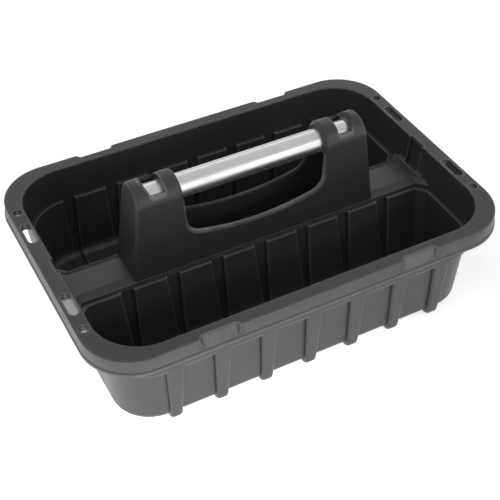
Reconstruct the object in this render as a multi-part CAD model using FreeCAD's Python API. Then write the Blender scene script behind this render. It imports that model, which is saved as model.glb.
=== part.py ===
"""Two-compartment tool caddy with an aluminium tube handle.

One injection-moulded tray carries everything: a rimmed tub, a hollow centre
divider that is open below, and two posts that are part of the divider. A
round aluminium tube is pushed up inside the divider until it lies under the
rounded tops of the posts, and small hooks in the posts keep it there.

Frame: +X along the caddy, +Y to the rear, +Z up. The origin is in the middle
of the footprint, on the plane that the feet stand on. Millimetres.
"""
import FreeCAD, Part
import math
import os

from FreeCAD import Vector

# ---- driving dimensions -------------------------------------------------
WALL = 3.0                 # wall of the tub and the divider

RIM_Z = 128.5              # top face of the rim above the feet
RIM = (240.0, 164.3, 56.0)  # rim outline: half length, half width, corner
RIM_THICKNESS = 2.8
SKIRT_HEIGHT = 19.5        # the rim's turned-down edge
SKIRT_FLARE = 1.4
SKIRT_WALL = 2.5
BEAD_HEIGHT = 3.6          # band along the skirt's lower edge
BEAD_PROUD = 0.5
BEAD_PROUD_TOP = 0.3

# inside outline of the tub, at groove level: half length, half width, corner
MOUTH = (223.0, 149.0, 53.0)
AT_LEDGE = (219.2, 147.7, 50.0)
AT_FLOOR = (213.6, 142.8, 46.0)
RIM_EDGE_RADIUS = 1.4       # along the outer edge of the rim and the mouth

FLOOR_Z = 7.0              # inside floor, on the raised panels
LEDGE_Z = 86.5             # top of the wall panels
PANEL_STEP = 4.7           # how far the panels stand in from the grooves
FLOOR_STEP = 4.0           # how far the floor grooves lie below the panels
FLOOR_CORNER = 11.5        # rounding between walls and floor, inside
BASE_CORNER = 11.0         # and outside
DIVIDER_AT_LEDGE = 25.3    # half width of the divider, at groove level
DIVIDER_AT_FLOOR = 42.3
CORNER_FLARE = 10.0        # slope between divider and end walls, in plan

GROOVE_COUNT = 7
GROOVE_PITCH = 53.2
GROOVE_HALF_TOP = 7.4      # half width of a groove at the ledge
GROOVE_HALF_FLOOR = 3.6    # and on the floor
PANEL_EDGE_RADIUS = 1.5
RIB_RADIUS = 3.4           # edges of the ribs, which are the outside of the grooves

HANDLE_Z = 179.0           # axis of the tube handle
TUBE_RADIUS = 13.5
TUBE_WALL = 1.6
SEAT_CLEARANCE = 0.06      # running clearance between tube and seats
END_PLAY = 0.5
TUBE_EDGE = 0.5

POST_RADIUS = 20.8         # rounded tops of the posts
POST_INNER_X = 82.0        # side of the hand opening, above its corners
POST_INNER_SLOPE = 0.07    # how fast the opening widens upwards
POST_OUTER_X = 138.0       # outer end of a post at the height of the tube
POST_END_SLOPE = 0.125     # how fast the outer end spreads downwards
POST_END_RADIUS = 3.6
POST_SIDE_RADIUS = 4.4
SEAT_DEPTH = 6.0           # how far the tube's seats reach below its axis
WINDOW_X = (103.2, 119.8)  # opening over the tube in the top of each post
WINDOW_RAMP_X = 127.0
WINDOW_HALF_Y = 17.0
HOOK_LENGTH = 8.0          # hooks in the posts, under the tube
HOOK_REACH = 2.3
HOOK_DROP = 8.2
HOOK_HEIGHT = 7.0
HOOK_NOSE = 1.0

SADDLE_Z = 122.0           # lowest point of the hand opening's edge
SADDLE_RADIUS = 290.0
SADDLE_CORNER = 17.0
BORDER_WIDTH = 3.6         # stepped-back border along the edge of the hand opening
BORDER_STEP = 0.9

PLATEAU = ((86.0, 26.3), (89.6, 25.6), (93.5, 16.5))  # (height, half width)
FLARE_X = 209.0            # from here the plateau spreads towards the end wall
FLARE_SPREAD = 12.0
COVE_RADIUS = 5.0          # rounding where the plateau meets the end walls
COVE_HALF = 23.0

LATCH_X = (93.2, 139.0)    # recesses for latches in both long sides of the rim
LATCH_FLARE = 4.6          # how much narrower they are at the back
LATCH_DEPTH = 5.6
LATCH_DROP = 15.0
HOLE_X = 231.1             # holes and slots in the two ends of the rim
HOLE_Y = 98.0
HOLE_RADIUS = 5.0
SLOT_Y = 60.0
SLOT_LENGTH = 33.0
SLOT_HALF = 5.0
COLLAR_DEPTH = 7.8         # sleeves round the holes and slots, under the rim
COLLAR_WALL = 1.8
NOTCH_HALF = 12.0          # vertical groove in the middle of each end wall
NOTCH_TOP_X = 226.2
NOTCH_FOOT_X = 222.6

# ---- values worked out from them -----------------------------------------
X_AXIS = Vector(1, 0, 0)
Y_AXIS = Vector(0, 1, 0)
FAR = 400.0                # beyond everything
OVERLAP = 0.5              # how far joined solids reach into each other
MARGIN = 1.0               # how far cutting shapes reach past a surface
FINE = 0.05                # slack when an edge is looked up by its place
COARSE = 0.2
TOUCHING = 0.02
EDGE_SHARES = (0.02, 0.5, 0.98)
LAST_GROOVE = (GROOVE_COUNT - 1) // 2
GROOVE_FLOOR_Z = FLOOR_Z - FLOOR_STEP
FOOT_Z = GROOVE_FLOOR_Z - WALL
BASE_Z = FLOOR_Z - WALL
UNDER_LEDGE_Z = LEDGE_Z - WALL
SKIRT_Z = RIM_Z - SKIRT_HEIGHT
UNDER_RIM_Z = RIM_Z - RIM_THICKNESS
SADDLE_END_Z = SADDLE_Z + SADDLE_RADIUS - math.sqrt(
    (SADDLE_RADIUS - SADDLE_CORNER) ** 2 - (POST_INNER_X - SADDLE_CORNER) ** 2)
SEAT_RADIUS = TUBE_RADIUS + SEAT_CLEARANCE
SEAT_Z = HANDLE_Z - SEAT_DEPTH
TUBE_END_X = POST_OUTER_X - WALL - POST_END_SLOPE * TUBE_RADIUS - END_PLAY


# ---- small shape helpers ---------------------------------------------------
def grown(size, amount):
    """The rounded rectangle (half x, half y, corner) moved outwards."""
    return tuple(value + amount for value in size)


def between(z, low_z, low, high_z, high):
    """Straight-line value between two heights."""
    return low + (z - low_z) / (high_z - low_z) * (high - low)


def tub(z, amount=0.0):
    """Inside outline of the tub at height z, below or above the ledge."""
    low_z, low, high_z, high = (FLOOR_Z, AT_FLOOR, LEDGE_Z, AT_LEDGE)
    if z > LEDGE_Z:
        low_z, low, high_z, high = (LEDGE_Z, AT_LEDGE, RIM_Z, MOUTH)
    size = tuple(between(z, low_z, a, high_z, b) for a, b in zip(low, high))
    return grown(size, amount)


def divider_half(z):
    """Half width of the divider at groove level, below the ledge."""
    return between(z, FLOOR_Z, DIVIDER_AT_FLOOR, LEDGE_Z, DIVIDER_AT_LEDGE)


def groove_half(z):
    return between(z, FLOOR_Z, GROOVE_HALF_FLOOR, LEDGE_Z, GROOVE_HALF_TOP)


def outline(size, z):
    """Rounded rectangle as a closed wire at height z."""
    half_x, half_y, radius = size
    cx, cy, k = half_x - radius, half_y - radius, radius * math.sqrt(0.5)
    ends = []
    arcs = []
    for sx, sy in ((1, 1), (-1, 1), (-1, -1), (1, -1)):
        first = Vector(sx * half_x, sy * cy, z)
        last = Vector(sx * cx, sy * half_y, z)
        if sx != sy:
            first, last = last, first
        middle = Vector(sx * (cx + k), sy * (cy + k), z)
        arcs.append(Part.Arc(first, middle, last).toShape())
        ends.append((first, last))
    edges = []
    for index, arc in enumerate(arcs):
        edges.append(arc)
        edges.append(Part.makeLine(ends[index][1], ends[(index + 1) % 4][0]))
    return Part.Wire(edges)


def tapered(*levels):
    """Solid through rounded rectangles, given as (size, z) from below."""
    return Part.makeLoft([outline(size, z) for size, z in levels], True, True)


def polygon(points):
    return Part.Face(Part.makePolygon(points + points[:1]))


def prism_x(points, x0, x1):
    """Polygon of (y, z) points, extruded along X."""
    return polygon([Vector(x0, y, z) for y, z in points]).extrude(Vector(x1 - x0, 0, 0))


def prism_y(points, y0, y1):
    """Polygon of (x, z) points, extruded along Y."""
    return polygon([Vector(x, y0, z) for x, z in points]).extrude(Vector(0, y1 - y0, 0))


def mirrored(shape, normal):
    return shape.mirror(Vector(0, 0, 0), normal)


def both_sides(shapes, normal):
    """The shapes and their mirror images."""
    return list(shapes) + [mirrored(shape, normal) for shape in shapes]


def four_ways(shape):
    """The shape in all four quadrants."""
    return both_sides(both_sides([shape], X_AXIS), Y_AXIS)


def fused(shapes):
    return shapes[0].multiFuse(list(shapes[1:]))


def near(value, target, slack=FINE):
    return abs(value - target) < slack


def edges_where(shape, test):
    """Edges whose two ends and middle all pass a test."""
    chosen = []
    for edge in shape.Edges:
        first, last = edge.ParameterRange
        points = [edge.valueAt(between(share, 0, first, 1, last)) for share in EDGE_SHARES]
        if edge.Length > COARSE and all(test(point) for point in points):
            chosen.append(edge)
    return chosen


# ---- compartments, as hollow volumes ------------------------------------------
def compartment_block(amount, low_z, high_z):
    """Front compartment below the ledge, its walls moved out by an amount."""
    whole = tapered((tub(low_z, amount), low_z), (tub(high_z, amount), high_z))
    low_y = amount - divider_half(low_z)
    high_y = amount - divider_half(high_z)
    behind = prism_x([(low_y, low_z - MARGIN), (FAR, low_z - MARGIN),
                      (FAR, high_z + MARGIN), (high_y, high_z + MARGIN)], -FAR, FAR)
    block = whole.cut(behind)

    def in_corner(point):
        at_wall = near(abs(point.x), tub(point.z, amount)[0], COARSE)
        return at_wall and point.y > -divider_half(point.z) + amount - MARGIN

    block = block.makeChamfer(CORNER_FLARE, edges_where(block, in_corner))
    return block.makeFillet(FLOOR_CORNER, edges_where(block, lambda point: near(point.z, low_z)))


def groove_wedges(extra=0.0):
    """Space of each groove, narrowing towards the floor, over the whole width."""
    low_z, high_z = FOOT_Z - WALL, LEDGE_Z + MARGIN
    low, high = groove_half(low_z) + extra, groove_half(high_z) + extra
    centres = [index * GROOVE_PITCH for index in range(-LAST_GROOVE, LAST_GROOVE + 1)]
    wedges = []
    for x in centres:
        points = [(x - low, low_z), (x + low, low_z), (x + high, high_z), (x - high, high_z)]
        wedges.append(prism_y(points, -FAR, FAR))
    return wedges


def panels(panelled):
    """Raised lining between the grooves, its edges rounded."""
    thick = compartment_block(WALL / 2, GROOVE_FLOOR_Z - WALL / 2, LEDGE_Z)
    lining = thick.cut(fused([panelled] + groove_wedges()))

    def on_edge(point):
        if Part.Vertex(point).distToShape(panelled)[0] > TOUCHING:
            return False
        if near(point.z, LEDGE_Z):
            return True
        offset = abs(point.x) % GROOVE_PITCH
        offset = min(offset, GROOVE_PITCH - offset)
        return abs(point.x) < GROOVE_PITCH * (LAST_GROOVE + 0.5) and near(
            offset, groove_half(point.z))

    pads = [pad.makeFillet(PANEL_EDGE_RADIUS, edges_where(pad, on_edge)) for pad in lining.Solids]
    return fused(pads)


def front_compartment():
    """Everything that is empty in the front compartment, below the ledge."""
    panelled = compartment_block(-PANEL_STEP, FLOOR_Z, LEDGE_Z + OVERLAP)
    grooved = compartment_block(0.0, GROOVE_FLOOR_Z, LEDGE_Z)
    return grooved.cut(panels(panelled))


# ---- outside of the tub ---------------------------------------------------
def tub_outside():
    """Solid of the tub's outer shape, its ribs and its feet."""
    upper = tapered((tub(UNDER_LEDGE_Z, WALL), UNDER_LEDGE_Z), (tub(LEDGE_Z, WALL), LEDGE_Z),
                    (tub(UNDER_RIM_Z, WALL), UNDER_RIM_Z + OVERLAP))
    recess = WALL - PANEL_STEP
    lower = tapered((tub(BASE_Z, recess), BASE_Z), (tub(LEDGE_Z, recess), LEDGE_Z))
    lower = lower.makeFillet(BASE_CORNER, edges_where(lower, lambda point: near(point.z, BASE_Z)))
    return fused([upper, lower] + ribs())


def ribs():
    """Outside of the grooves: ribs up the long walls, feet under the floor."""
    block = tapered((tub(FOOT_Z, WALL), FOOT_Z), (tub(LEDGE_Z, WALL), LEDGE_Z))
    block = block.makeFillet(BASE_CORNER, edges_where(block, lambda point: near(point.z, FOOT_Z)))
    core = tapered((tub(BASE_Z, -WALL), BASE_Z + BASE_CORNER),
                   (tub(LEDGE_Z, -WALL), LEDGE_Z + MARGIN))
    shell = block.cut(core)

    def on_outer_edge(point):
        on_block = Part.Vertex(point).distToShape(block.Shells[0])[0] < TOUCHING
        return on_block and not near(point.z, LEDGE_Z)

    strips = []
    for wedge in groove_wedges(WALL):
        strip = shell.common(wedge)
        strips.append(strip.makeFillet(RIB_RADIUS, edges_where(strip, on_outer_edge)))
    return strips


# ---- divider and posts ------------------------------------------------------
def post_section(radius):
    """Cross-section of the posts across the caddy: a round top on drafted sides."""
    rise = HANDLE_Z - LEDGE_Z
    reach = math.hypot(DIVIDER_AT_LEDGE, rise)
    draft = math.atan2(DIVIDER_AT_LEDGE, rise) - math.asin(POST_RADIUS / reach)
    low_z = UNDER_LEDGE_Z - OVERLAP
    side_y, side_z = radius * math.cos(draft), HANDLE_Z + radius * math.sin(draft)
    low_y = side_y + (side_z - low_z) * math.tan(draft)
    top = Part.Arc(Vector(0, side_y, side_z), Vector(0, 0, HANDLE_Z + radius),
                   Vector(0, -side_y, side_z))
    sides = Part.makePolygon([Vector(0, -side_y, side_z), Vector(0, -low_y, low_z),
                              Vector(0, low_y, low_z), Vector(0, side_y, side_z)])
    return Part.Face(Part.Wire([top.toShape()] + sides.Edges))


def post_bar(radius, amount=0.0):
    """Both posts and what lies between them as one bar, its ends spreading downwards."""
    bar = post_section(radius).translate(Vector(-FAR, 0, 0)).extrude(Vector(2 * FAR, 0, 0))
    low, high = 0.0, HANDLE_Z + 2 * POST_RADIUS
    low_x, high_x = (POST_OUTER_X + amount + POST_END_SLOPE * (HANDLE_Z - z) for z in (low, high))
    points = [(-low_x, low), (low_x, low), (high_x, high), (-high_x, high)]
    return bar.common(prism_y(points, -FAR, FAR))


def inner_side(z):
    """Distance of the posts' inner ends from the middle, at height z."""
    return POST_INNER_X + POST_INNER_SLOPE * (z - SADDLE_END_Z)


def hand_opening(amount=0.0):
    """Everything above the sagging edge between the posts, its outline grown by an amount."""
    centre_z = SADDLE_Z + SADDLE_RADIUS
    corner_x = POST_INNER_X - SADDLE_CORNER
    corner_z = SADDLE_END_Z
    grow = (SADDLE_RADIUS + amount) / (SADDLE_RADIUS - SADDLE_CORNER)
    meet_x, meet_z = corner_x * grow, centre_z + (corner_z - centre_z) * grow
    turn = (math.atan2(corner_z - centre_z, corner_x)) / 2
    middle_x = corner_x + (SADDLE_CORNER + amount) * math.cos(turn)
    middle_z = corner_z + (SADDLE_CORNER + amount) * math.sin(turn)
    side_x, high_x = POST_INNER_X + amount, inner_side(FAR) + amount

    def at(x, z):
        return Vector(x, -FAR, z)

    edges = [Part.Arc(at(-meet_x, meet_z), at(0, SADDLE_Z - amount), at(meet_x, meet_z)).toShape()]
    for side in (-1, 1):
        edges.append(Part.Arc(at(side * meet_x, meet_z), at(side * middle_x, middle_z),
                              at(side * side_x, corner_z)).toShape())
        edges.append(Part.makeLine(at(side * side_x, corner_z), at(side * high_x, FAR)))
    edges.append(Part.makeLine(at(-high_x, FAR), at(high_x, FAR)))
    return Part.Face(Part.Wire(Part.__sortEdges__(edges))).extrude(Vector(0, 2 * FAR, 0))


def posts():
    """Outer shape of the two posts and the low wall between them."""
    bar = post_bar(POST_RADIUS)

    def on_end(edge):
        middle = edge.valueAt((edge.FirstParameter + edge.LastParameter) / 2)
        end_x = POST_OUTER_X + POST_END_SLOPE * (HANDLE_Z - middle.z)
        return near(abs(middle.x), end_x) and middle.z > LEDGE_Z

    bar = bar.makeFillet(POST_END_RADIUS, [edge for edge in bar.Edges if on_end(edge)])
    opening = hand_opening()
    pieces = bar.cut(opening)

    def on_side(point):
        return near(abs(point.x), inner_side(point.z)) and point.z > SADDLE_END_Z

    pieces = pieces.makeFillet(POST_SIDE_RADIUS, edges_where(pieces, on_side))
    below_corners = Part.makeBox(2 * FAR, 2 * FAR, SADDLE_END_Z, Vector(-FAR, -FAR, -MARGIN))
    border = hand_opening(BORDER_WIDTH).common(below_corners).cut(post_bar(POST_RADIUS - BORDER_STEP))
    return pieces.cut(border)


def plateau():
    """Low bevelled top of the divider, from end wall to end wall."""
    wall_x = AT_LEDGE[0] + WALL / 2
    levels = []
    for z, half in PLATEAU:
        flare = half + FLARE_SPREAD
        corners = [(wall_x, flare), (FLARE_X, half), (-FLARE_X, half), (-wall_x, flare),
                   (-wall_x, -flare), (-FLARE_X, -half), (FLARE_X, -half), (wall_x, -flare)]
        points = [Vector(x, y, z) for x, y in corners]
        levels.append(Part.makePolygon(points + points[:1]))
    return Part.makeLoft(levels, True, True)


def end_cove():
    """Rounded corner between the plateau and the right-hand end wall."""
    z = PLATEAU[-1][0]
    wall_x = tub(z)[0]
    centre_x, centre_z = wall_x - COVE_RADIUS, z + COVE_RADIUS
    k = COVE_RADIUS * math.sqrt(0.5)

    def at(x, height):
        return Vector(x, -COVE_HALF, height)

    arc = Part.Arc(at(centre_x, z), at(centre_x + k, centre_z - k), at(wall_x, centre_z))
    rest = Part.makePolygon([at(wall_x, centre_z), at(wall_x + OVERLAP, centre_z),
                             at(wall_x + OVERLAP, z - OVERLAP), at(centre_x, z - OVERLAP),
                             at(centre_x, z)])
    profile = Part.Face(Part.Wire([arc.toShape()] + rest.Edges))
    return profile.extrude(Vector(0, 2 * COVE_HALF, 0))


def divider_hollow():
    """The space inside the divider and the posts, open to the floor below."""
    low_z = FOOT_Z - WALL
    wide = PANEL_STEP - WALL

    def core(amount, high_z):
        low_y, high_y = divider_half(low_z) + amount, divider_half(high_z) + amount
        points = [(-low_y, low_z), (low_y, low_z), (high_y, high_z), (-high_y, high_z)]
        return prism_x(points, -FAR, FAR)

    behind_panels = core(wide, UNDER_LEDGE_Z).cut(fused(groove_wedges(WALL)))
    roof_z, roof_half = PLATEAU[-1][0] - WALL, PLATEAU[-1][1] - WALL / 2
    foot_half = divider_half(UNDER_LEDGE_Z) - WALL
    half_roof = [(foot_half, UNDER_LEDGE_Z), (foot_half, LEDGE_Z + MARGIN), (roof_half, roof_z)]
    roof = prism_x(half_roof + [(-y, z) for y, z in reversed(half_roof)], -FAR, FAR)
    ends = tapered((tub(low_z, -PANEL_STEP), low_z), (tub(LEDGE_Z, -PANEL_STEP), LEDGE_Z),
                   (tub(LEDGE_Z, -PANEL_STEP), roof_z + MARGIN))
    low = fused([behind_panels, core(-WALL, UNDER_LEDGE_Z), roof]).common(ends)
    below_seats = Part.makeBox(2 * FAR, 2 * FAR, SEAT_Z, Vector(-FAR, -FAR, 0))
    channel = post_bar(POST_RADIUS - WALL, -WALL).common(below_seats)
    return fused([low, channel, post_bar(SEAT_RADIUS, -WALL)])


def window():
    """Opening over the tube in the top of the right-hand post."""
    x0, x1 = WINDOW_X
    low_z, high_z = HANDLE_Z + TUBE_RADIUS, HANDLE_Z + POST_RADIUS
    slope = (WINDOW_RAMP_X - x1) / (high_z - low_z)
    top_z = high_z + WALL
    foot_z = SEAT_Z - MARGIN
    points = [(x0, foot_z), (x1, foot_z), (x1, low_z),
              (x1 + slope * (top_z - low_z), top_z), (x0, top_z)]
    return prism_y(points, -WINDOW_HALF_Y, WINDOW_HALF_Y)


def hook():
    """Hook under the tube, on the front wall inside the right-hand post."""
    x0 = (WINDOW_X[0] + WINDOW_X[1] - HOOK_LENGTH) / 2
    high_z = HANDLE_Z - HOOK_DROP
    wall_y = POST_RADIUS - WALL / 2
    tip_y = SEAT_RADIUS - HOOK_REACH
    points = [(-wall_y, high_z), (-tip_y, high_z),
              (-tip_y, high_z - HOOK_NOSE), (-wall_y, high_z - HOOK_HEIGHT)]
    return prism_x(points, x0, x0 + HOOK_LENGTH)


# ---- rim -------------------------------------------------------------------
def mouth():
    """The open space of the tub above the ledge."""
    return tapered((tub(LEDGE_Z), LEDGE_Z), (tub(RIM_Z), RIM_Z), (tub(RIM_Z), RIM_Z + WALL))


def rim():
    """Rim plate with its turned-down skirt and the band along the skirt's edge."""
    flared = grown(RIM, SKIRT_FLARE)
    block = tapered((flared, SKIRT_Z), (RIM, RIM_Z)).cut(mouth())
    top_edges = edges_where(block, lambda point: near(point.z, RIM_Z))
    block = block.makeFillet(RIM_EDGE_RADIUS, top_edges)
    band_z = SKIRT_Z + BEAD_HEIGHT
    band = tapered((grown(flared, BEAD_PROUD), SKIRT_Z), (grown(flared, BEAD_PROUD_TOP), band_z),
                   (grown(flared, -SKIRT_WALL / 2), band_z + SKIRT_WALL / 2))
    inside = tapered((grown(flared, -SKIRT_WALL), SKIRT_Z), (grown(RIM, -SKIRT_WALL), UNDER_RIM_Z))
    backs = four_ways(latch_back())
    return fused([block, band]).cut(inside.cut(backs))


def latch_y(z, depth):
    """Y of a plane that leaves the skirt at the foot of a latch recess and is deepest at the top."""
    foot_z = RIM_Z - LATCH_DROP
    foot_y = RIM[1] + between(foot_z, RIM_Z, 0, SKIRT_Z, SKIRT_FLARE)
    return -between(z, foot_z, foot_y, RIM_Z, RIM[1] - depth)


def latch_back():
    """Thickening behind a latch recess, in the front right quadrant."""
    foot_z, high_z = RIM_Z - LATCH_DROP, RIM_Z - MARGIN
    foot_y, high_y = (latch_y(z, LATCH_DEPTH) + SKIRT_WALL for z in (foot_z, high_z))
    points = [(-RIM[1], foot_z), (foot_y, foot_z), (high_y, high_z), (-RIM[1], high_z)]
    return prism_x(points, LATCH_X[0] - SKIRT_WALL, LATCH_X[1] + SKIRT_WALL)


def latch_recess():
    """Recess with a sloping back and flared sides, in the front right quadrant."""
    x0, x1 = LATCH_X[0] + LATCH_FLARE, LATCH_X[1] - LATCH_FLARE
    out_y = 2 * LATCH_DEPTH
    out_x = out_y * LATCH_FLARE / LATCH_DEPTH
    levels = []
    for z in (RIM_Z - LATCH_DROP, RIM_Z + MARGIN):
        y = latch_y(z, LATCH_DEPTH)
        points = [Vector(x0, y, z), Vector(x1, y, z),
                  Vector(x1 + out_x, y - out_y, z), Vector(x0 - out_x, y - out_y, z)]
        levels.append(Part.makePolygon(points + points[:1]))
    return Part.makeLoft(levels, True, True)


def end_notch(back):
    """Groove down the middle of the right-hand end wall, or the wall behind it."""
    half = NOTCH_HALF + back
    foot_z = PLATEAU[-1][0] - back
    high_z = RIM_Z - back if back else RIM_Z + MARGIN
    points = [(MOUTH[0] - 2 * WALL, foot_z), (NOTCH_FOOT_X + back, foot_z),
              (NOTCH_TOP_X + back, high_z), (MOUTH[0] - 2 * WALL, high_z)]
    return prism_y(points, -half, half)


def rim_holes(amount, low_z, high_z):
    """Hole and slot in the rim's end, front right quadrant, each grown by an amount."""
    height = high_z - low_z
    reach = SLOT_LENGTH / 2 - SLOT_HALF
    half = SLOT_HALF + amount
    slot = Part.makeBox(2 * half, 2 * reach, height, Vector(HOLE_X - half, -SLOT_Y - reach, low_z))
    rounds = [(HOLE_Y, HOLE_RADIUS + amount), (SLOT_Y - reach, half), (SLOT_Y + reach, half)]
    return fused([slot] + [Part.makeCylinder(radius, height, Vector(HOLE_X, -y, low_z))
                           for y, radius in rounds])


# ---- the two pieces -----------------------------------------------------------
def tray():
    notch_backs = both_sides([end_notch(WALL)], X_AXIS)
    compartment = front_compartment()
    collars = four_ways(rim_holes(COLLAR_WALL, RIM_Z - COLLAR_DEPTH, UNDER_RIM_Z + OVERLAP))
    shell = fused([tub_outside(), rim()] + notch_backs + collars)
    shell = shell.cut([compartment, mirrored(compartment, Y_AXIS), mouth()])
    shell = fused([shell, plateau(), posts()] + both_sides([end_cove()], X_AXIS))
    openings = both_sides([end_notch(0.0), window()], X_AXIS)
    openings += four_ways(rim_holes(0.0, SKIRT_Z, RIM_Z + MARGIN)) + four_ways(latch_recess())
    shell = shell.cut([divider_hollow()] + openings)
    return fused([shell] + four_ways(hook()))


def handle_tube():
    length = 2 * TUBE_END_X
    start = Vector(-TUBE_END_X, 0, HANDLE_Z)
    outer = Part.makeCylinder(TUBE_RADIUS, length, start, X_AXIS)
    tube = outer.cut(Part.makeCylinder(TUBE_RADIUS - TUBE_WALL, length, start, X_AXIS))
    return tube.makeChamfer(TUBE_EDGE, edges_where(tube, lambda point: near(abs(point.x), TUBE_END_X)))


def main():
    os.makedirs("parts", exist_ok=True)
    for name, make in (("tray", tray), ("handle_tube", handle_tube)):
        make().Solids[0].exportStep(f"parts/{name}.step")


main()
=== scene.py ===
"""Looks for the tool caddy: moulded polypropylene tray and brushed aluminium tube handle.

The CAD nodes keep their shape and place and only take materials. The floor is a
white light table, so that the outer walls are lit from below as well.
"""

import math

import bpy
from mathutils import Matrix, Vector

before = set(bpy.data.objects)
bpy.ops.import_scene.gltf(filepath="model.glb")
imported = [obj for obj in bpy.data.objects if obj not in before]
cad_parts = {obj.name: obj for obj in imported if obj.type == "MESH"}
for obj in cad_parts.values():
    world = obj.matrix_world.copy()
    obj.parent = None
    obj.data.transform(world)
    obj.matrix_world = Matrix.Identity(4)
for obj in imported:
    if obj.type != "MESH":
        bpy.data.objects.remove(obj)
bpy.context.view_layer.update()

# ---- camera: the photograph's own viewpoint, in degrees, metres and millimetres ---------
CAMERA_PLACE = (-0.4174, -0.8013, 0.8752)
CAMERA_AZIMUTH = -27.63
CAMERA_ELEVATION = 42.30
CAMERA_ROLL = -0.43
CAMERA_LENS_MM = 76.7

# ---- floor and light, in metres and watts -------------------------------------
FLOOR_HALF = 24.0
FLOOR_GLOW_NEAR = 1.40     # brightest in front of the caddy, on the left
FLOOR_GLOW_FAR = 0.46
FLOOR_GLOW_CENTRE = (-0.27, -0.27, 0.0)
FLOOR_GLOW_REACH = (0.08, 0.55)
UNLIT_HALF = (0.187, 0.114)  # no glow straight under the caddy
UNLIT_EDGE = 1.04
SURROUND = (0.25, 0.66)    # brightness at the horizon and overhead
LIGHTS_AIM = (0.0, 0.0, 0.15)
SOFTBOXES = (              # name, place, width, height, power
    ("rear", (0.85, 2.00, 1.55), 2.6, 1.1, 7.5),
    ("front_strip", (1.02, -2.00, 1.25), 1.6, 0.26, 6.0),
    ("front_low", (0.75, -2.25, 0.32), 1.0, 0.6, 4.0),
    ("left", (-2.4, -0.8, 0.75), 1.6, 1.0, 4.6),
)


def camera():
    """Camera at its place, turned by azimuth, elevation and roll."""
    azimuth, elevation = math.radians(CAMERA_AZIMUTH), math.radians(CAMERA_ELEVATION)
    level = math.cos(elevation)
    back = Vector((math.sin(azimuth) * level, -math.cos(azimuth) * level, math.sin(elevation)))
    right = Vector((0, 0, 1)).cross(back).normalized()
    up = back.cross(right)
    roll = Matrix.Rotation(math.radians(CAMERA_ROLL), 3, "Z")
    turn = Matrix((right, up, back)).transposed() @ roll
    data = bpy.data.cameras.new("photo_camera")
    data.lens = CAMERA_LENS_MM
    data.sensor_width = 36.0
    data.clip_end = 50.0
    obj = bpy.data.objects.new("photo_camera", data)
    obj.matrix_world = Matrix.Translation(CAMERA_PLACE) @ turn.to_4x4()
    bpy.context.scene.collection.objects.link(obj)
    bpy.context.scene.camera = obj


# ---- materials -----------------------------------------------------------------
class Nodes:
    """A material's node tree, with short calls for the nodes used here."""

    def __init__(self, name):
        self.material = bpy.data.materials.new(name)
        self.material.use_nodes = True
        self.tree = self.material.node_tree
        self.shader = self.tree.nodes["Principled BSDF"]
        self.place = self.add("ShaderNodeTexCoord").outputs["Object"]

    def add(self, kind, **settings):
        node = self.tree.nodes.new(kind)
        for name, value in settings.items():
            setattr(node, name, value)
        return node

    def link(self, source, target):
        self.tree.links.new(source, target)

    def noise(self, scale, detail=2.0, stretch=(1, 1, 1), shift=0.0, roughness=0.5):
        """Noise in metres: scale is in cells per metre, along each axis times stretch."""
        mapping = self.add("ShaderNodeMapping")
        mapping.inputs["Scale"].default_value = stretch
        mapping.inputs["Location"].default_value = (shift, shift, shift)
        self.link(self.place, mapping.inputs["Vector"])
        node = self.add("ShaderNodeTexNoise")
        node.inputs["Scale"].default_value = scale
        node.inputs["Detail"].default_value = detail
        node.inputs["Roughness"].default_value = roughness
        self.link(mapping.outputs["Vector"], node.inputs["Vector"])
        return node.outputs["Fac"]

    def ramp(self, value, from_low, from_high, to_low=0.0, to_high=1.0):
        """Straight-line change of a value from one range to another, held at its ends."""
        node = self.add("ShaderNodeMapRange")
        node.inputs["From Min"].default_value = from_low
        node.inputs["From Max"].default_value = from_high
        node.inputs["To Min"].default_value = to_low
        node.inputs["To Max"].default_value = to_high
        self.link(value, node.inputs["Value"])
        return node.outputs["Result"]

    def math(self, operation, first, second):
        node = self.add("ShaderNodeMath", operation=operation)
        for index, value in enumerate((first, second)):
            if isinstance(value, (int, float)):
                node.inputs[index].default_value = value
            else:
                self.link(value, node.inputs[index])
        return node.outputs["Value"]

    def mix(self, share, first, second):
        """Colour between two colours or sockets."""
        node = self.add("ShaderNodeMix", data_type="RGBA")
        self.link(share, node.inputs["Factor"])
        for key, value in (("A", first), ("B", second)):
            socket = [s for s in node.inputs if s.name == key and s.type == "RGBA"][0]
            if isinstance(value, tuple):
                socket.default_value = (*value, 1.0)
            else:
                self.link(value, socket)
        return [s for s in node.outputs if s.type == "RGBA"][0]

    def bump(self, height, distance, strength=1.0, normal=None):
        """Surface relief of a depth in metres, on top of an earlier one if given."""
        node = self.add("ShaderNodeBump")
        node.inputs["Strength"].default_value = strength
        node.inputs["Distance"].default_value = distance
        self.link(height, node.inputs["Height"])
        if normal is not None:
            self.link(normal, node.inputs["Normal"])
        return node.outputs["Normal"]


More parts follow.
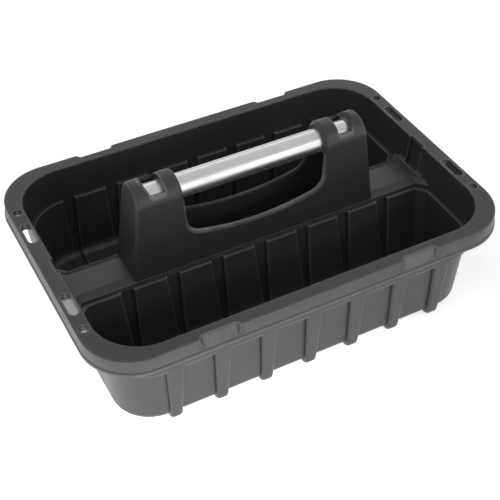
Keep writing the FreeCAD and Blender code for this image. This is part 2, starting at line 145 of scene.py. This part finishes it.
def polypropylene():
    """Dark grey moulded polypropylene: fine spark texture, faint flow marks, and convex edges
    lightened partly as rubbed wear and partly as a painted highlight.
    """
    n = Nodes("moulded_polypropylene")
    cloud = n.noise(9.0, detail=4.0)
    grain = n.noise(1500.0, detail=2.0)
    coarse = n.noise(420.0, detail=2.0, shift=3.0)
    rubs = n.noise(38.0, detail=6.0, shift=7.0, roughness=0.65)
    scratches = n.noise(60.0, detail=3.0, stretch=(1.0, 14.0, 1.0), shift=11.0)

    colour = n.mix(n.ramp(cloud, 0.3, 0.7), (0.034, 0.035, 0.037), (0.041, 0.042, 0.044))
    colour = n.mix(n.ramp(grain, 0.35, 0.75, 0.0, 0.5), colour, (0.066, 0.067, 0.069))
    # Convex edges found by inside occlusion are painted lighter: partly rubbed wear, partly a
    # painted highlight along the moulded edges.
    edges = n.add("ShaderNodeAmbientOcclusion", inside=True, samples=6)
    edges.inputs["Distance"].default_value = 0.0028
    edge_wear_and_highlight = n.ramp(edges.outputs["AO"], 0.90, 0.60)
    edge_wear_and_highlight = n.math("MULTIPLY", edge_wear_and_highlight, n.ramp(rubs, 0.42, 0.66, 0.45, 0.95))
    colour = n.mix(edge_wear_and_highlight, colour, (0.20, 0.201, 0.203))
    marks = n.ramp(scratches, 0.70, 0.76, 0.0, 0.25)
    colour = n.mix(marks, colour, (0.10, 0.10, 0.102))
    n.link(colour, n.shader.inputs["Base Color"])

    gloss = n.ramp(cloud, 0.3, 0.7, 0.35, 0.41)
    gloss = n.math("ADD", gloss, n.ramp(rubs, 0.45, 0.75, 0.0, 0.07))
    n.link(gloss, n.shader.inputs["Roughness"])
    n.shader.inputs["IOR"].default_value = 1.49

    normal = n.bump(grain, 0.00010, 0.55)
    normal = n.bump(coarse, 0.00012, 0.25, normal)
    normal = n.bump(n.noise(14.0, detail=1.0, shift=5.0), 0.0009, 0.12, normal)
    n.link(normal, n.shader.inputs["Normal"])
    return n.material


def brushed_aluminium():
    """Bare aluminium tube, brushed along its length."""
    n = Nodes("brushed_aluminium")
    fine = n.noise(1.0, detail=3.0, stretch=(9.0, 2600.0, 2600.0))
    broad = n.noise(1.0, detail=2.0, stretch=(2.5, 520.0, 520.0), shift=4.0)
    smudge = n.noise(26.0, detail=3.0, shift=9.0)

    colour = n.mix(n.ramp(fine, 0.3, 0.7), (0.70, 0.705, 0.715), (0.86, 0.865, 0.87))
    colour = n.mix(n.ramp(broad, 0.45, 0.75, 0.0, 0.4), colour, (0.62, 0.625, 0.64))
    n.link(colour, n.shader.inputs["Base Color"])
    n.shader.inputs["Metallic"].default_value = 1.0
    gloss = n.ramp(fine, 0.3, 0.7, 0.28, 0.40)
    gloss = n.math("ADD", gloss, n.ramp(smudge, 0.5, 0.8, 0.0, 0.08))
    n.link(gloss, n.shader.inputs["Roughness"])
    normal = n.bump(fine, 0.00006, 0.6)
    normal = n.bump(broad, 0.00010, 0.35, normal)
    n.link(normal, n.shader.inputs["Normal"])
    return n.material


def dress(node, material):
    """Gives a CAD node its material."""
    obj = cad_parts[node]
    obj.data.materials.clear()
    obj.data.materials.append(material)


# ---- floor and light ---------------------------------------------------------
def floor():
    """Large white floor with its own soft glow."""
    mesh = bpy.data.meshes.new("studio_floor")
    half = FLOOR_HALF
    corners = [(-half, -half, 0), (half, -half, 0), (half, half, 0), (-half, half, 0)]
    mesh.from_pydata(corners, [], [(0, 1, 2, 3)])
    obj = bpy.data.objects.new("studio_floor", mesh)
    bpy.context.scene.collection.objects.link(obj)
    n = Nodes("pale_floor")
    shade = n.mix(n.ramp(n.noise(3.0), 0.3, 0.7), (0.93, 0.93, 0.93), (0.95, 0.95, 0.95))
    n.link(shade, n.shader.inputs["Base Color"])
    n.shader.inputs["Roughness"].default_value = 0.8
    n.shader.inputs["Specular IOR Level"].default_value = 0.1
    distance = n.add("ShaderNodeVectorMath", operation="DISTANCE")
    distance.inputs[1].default_value = FLOOR_GLOW_CENTRE
    n.link(n.place, distance.inputs[0])
    glow = n.ramp(distance.outputs["Value"], *FLOOR_GLOW_REACH, FLOOR_GLOW_NEAR, FLOOR_GLOW_FAR)
    axes = n.add("ShaderNodeSeparateXYZ")
    n.link(n.place, axes.inputs["Vector"])
    across = [n.math("DIVIDE", n.math("ABSOLUTE", axes.outputs[axis], 0.0), half)
              for axis, half in zip("XY", UNLIT_HALF)]
    uncovered = n.ramp(n.math("MAXIMUM", *across), 1.0, UNLIT_EDGE)
    glow = n.math("MULTIPLY", glow, uncovered)
    n.shader.inputs["Emission Color"].default_value = (1.0, 1.0, 1.0, 1.0)
    n.link(glow, n.shader.inputs["Emission Strength"])
    mesh.materials.append(n.material)


def softbox(name, place, width, height, power):
    """Rectangular area light that faces the caddy."""
    data = bpy.data.lights.new(name, "AREA")
    data.shape = "RECTANGLE"
    data.size, data.size_y = width, height
    data.energy = power
    obj = bpy.data.objects.new(name, data)
    direction = Vector(place) - Vector(LIGHTS_AIM)
    turn = direction.to_track_quat("Z", "Y").to_matrix().to_4x4()
    obj.matrix_world = Matrix.Translation(place) @ turn
    bpy.context.scene.collection.objects.link(obj)


def lights():
    """Four softboxes and a surround that grows brighter upwards."""
    for box in SOFTBOXES:
        softbox(*box)
    world = bpy.data.worlds.new("studio")
    world.use_nodes = True
    nodes, links = world.node_tree.nodes, world.node_tree.links
    direction = nodes.new("ShaderNodeTexCoord")
    axes = nodes.new("ShaderNodeSeparateXYZ")
    rise = nodes.new("ShaderNodeMapRange")
    rise.inputs["To Min"].default_value = SURROUND[0]
    rise.inputs["To Max"].default_value = SURROUND[1]
    links.new(direction.outputs["Generated"], axes.inputs["Vector"])
    links.new(axes.outputs["Z"], rise.inputs["Value"])
    links.new(rise.outputs["Result"], nodes["Background"].inputs["Strength"])
    nodes["Background"].inputs["Color"].default_value = (1.0, 1.0, 1.0, 1.0)
    bpy.context.scene.world = world
    bpy.context.scene.view_settings.view_transform = "Standard"


# ---- scene -----------------------------------------------------------------------
camera()
dress("tray", polypropylene())
dress("handle_tube", brushed_aluminium())
floor()
lights()
